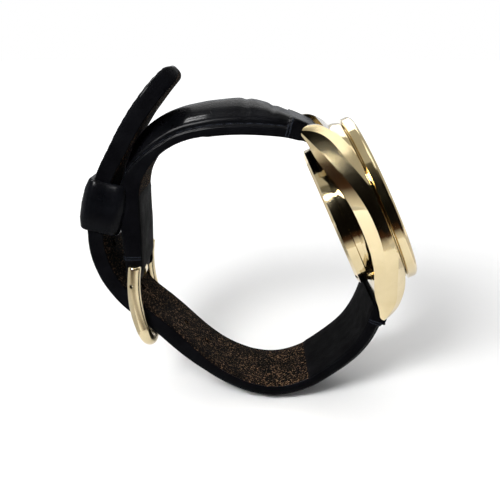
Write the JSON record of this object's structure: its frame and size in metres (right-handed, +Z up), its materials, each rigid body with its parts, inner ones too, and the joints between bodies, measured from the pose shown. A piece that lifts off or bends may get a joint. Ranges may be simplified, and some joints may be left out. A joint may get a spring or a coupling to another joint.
{
  "type": "wristwatch",
  "caption": "Dress wristwatch in a polished gold-tone case with open arched flanks, on a black padded leather strap buckled into a loop by a tang buckle.",
  "frame": {"origin": "centre of the caseback's outer face, where the watch rests on the wrist", "axes": "+Z up as the watch stands on its strap, +Y across the strap towards the crown at 3 o'clock, +X from the buckle towards the head; the dial faces +X and leans back 24.7 degrees"},
  "size_m": [0.0695, 0.0383, 0.069],
  "materials": {
    "gold_case": "polished pale gold plating",
    "gold_buckle": "polished pale gold plating",
    "gold_dial_trim": "polished pale gold",
    "crystal_glass": "clear mineral glass",
    "dial_face": "satin cream lacquer",
    "seal_rubber": "matte black",
    "holder_plastic": "off-white",
    "movement_brass": "satin",
    "train_plastic": "dark moulded",
    "steel": "satin steel",
    "coil_copper": "varnished copper wire",
    "board_green": "circuit board",
    "black_leather": "glossy black calf, padded and stitched",
    "brown_lining": "dark brown suede, worn and speckled"
  },
  "bodies": {
    "case": {"case_middle": "gold_case", "bezel": "gold_case", "caseback": "gold_case", "rehaut_ring": "gold_dial_trim", "hour_markers": "gold_dial_trim", "crystal": "crystal_glass", "dial": "dial_face", "caseback_gasket": "seal_rubber", "crystal_gasket": "seal_rubber", "movement_holder": "holder_plastic", "mainplate": "movement_brass", "train_bridge": "movement_brass", "crown_tube": "steel", "spring_bar_12": "steel", "spring_bar_6": "steel", "spring_bar_buckle": "steel", "spring_bar_pins_12": "steel", "spring_bar_pins_6": "steel", "spring_bar_pins_buckle": "steel", "battery": "steel", "battery_clip": "steel", "bridge_screws": "steel", "stator": "steel", "coil": "coil_copper", "circuit_board": "board_green", "strap_12_upper": "black_leather", "strap_6_upper": "black_leather", "keeper": "black_leather", "strap_6_lining": "brown_lining", "strap_12_lining": "brown_lining"},
    "minute_hand": {"minute_hand": "gold_dial_trim", "cannon_pinion": "movement_brass"},
    "hour_hand": {"hour_hand": "gold_dial_trim", "hour_wheel": "movement_brass"},
    "minute_wheel": {"minute_wheel": "movement_brass"},
    "second_hand": {"second_hand": "gold_dial_trim", "second_wheel": "movement_brass"},
    "third_wheel": {"third_wheel": "movement_brass"},
    "centre_wheel": {"centre_wheel": "movement_brass"},
    "step_wheel": {"step_wheel": "train_plastic"},
    "rotor": {"rotor": "train_plastic"},
    "sliding_pinion": {"sliding_pinion": "steel"},
    "crown": {"crown": "gold_case", "stem": "steel"},
    "buckle_frame": {"buckle_frame": "gold_buckle"},
    "buckle_tang": {"buckle_tang": "gold_buckle"}
  },
  "joints": [
    {"name": "minute_hand_turn", "type": "hinge", "parent": "case", "child": "minute_hand", "pos_m": [0.00236, 0, 0.00109], "axis": [-0.9085, 0, -0.4179], "continuous": true},
    {"name": "hour_hand_turn", "type": "hinge", "parent": "case", "child": "hour_hand", "pos_m": [0.00236, 0, 0.00109], "axis": [-0.9085, 0, -0.4179], "continuous": true},
    {"name": "minute_wheel_turn", "type": "hinge", "parent": "case", "child": "minute_wheel", "pos_m": [0.00353, 0, -0.00146], "axis": [-0.9085, 0, -0.4179], "continuous": true},
    {"name": "second_hand_turn", "type": "hinge", "parent": "case", "child": "second_hand", "pos_m": [0.00236, 0, 0.00109], "axis": [-0.9085, 0, -0.4179], "continuous": true},
    {"name": "third_wheel_turn", "type": "hinge", "parent": "case", "child": "third_wheel", "pos_m": [0.00201, -0.0023, 0.00185], "axis": [-0.9085, 0, -0.4179], "continuous": true},
    {"name": "centre_wheel_turn", "type": "hinge", "parent": "case", "child": "centre_wheel", "pos_m": [0.00236, 0, 0.00109], "axis": [-0.9085, 0, -0.4179], "continuous": true},
    {"name": "step_wheel_turn", "type": "hinge", "parent": "case", "child": "step_wheel", "pos_m": [0.00149, 0.0012, 0.00297], "axis": [-0.9085, 0, -0.4179], "continuous": true},
    {"name": "rotor_turn", "type": "hinge", "parent": "case", "child": "rotor", "pos_m": [0.00098, 0.00332, 0.00409], "axis": [-0.9085, 0, -0.4179], "continuous": true},
    {"name": "crown_turn", "type": "hinge", "parent": "case", "child": "sliding_pinion", "pos_m": [0.00482, 0, 0.00221], "axis": [0, 1, 0], "continuous": true},
    {"name": "crown_pull", "type": "slide", "parent": "sliding_pinion", "child": "crown", "axis": [0, 1, 0], "range_m": [0, 0.0012]},
    {"name": "buckle_frame_swing", "type": "hinge", "parent": "case", "child": "buckle_frame", "pos_m": [-0.04064, 0, -0.01151], "axis": [0, 1, 0], "range_deg": [-1, 2]},
    {"name": "buckle_tang_swing", "type": "hinge", "parent": "buckle_frame", "child": "buckle_tang", "pos_m": [-0.04064, 0, -0.01151], "axis": [0, 1, 0], "range_deg": [0, 2]}
  ],
  "couplings": [
    {"joint": "hour_hand_turn", "follows": "minute_hand_turn", "ratio": 0.083333},
    {"joint": "minute_wheel_turn", "follows": "minute_hand_turn", "ratio": -0.33333},
    {"joint": "third_wheel_turn", "follows": "second_hand_turn", "ratio": -0.13333},
    {"joint": "centre_wheel_turn", "follows": "second_hand_turn", "ratio": 0.016667},
    {"joint": "step_wheel_turn", "follows": "second_hand_turn", "ratio": -5},
    {"joint": "rotor_turn", "follows": "second_hand_turn", "ratio": 30}
  ]
}
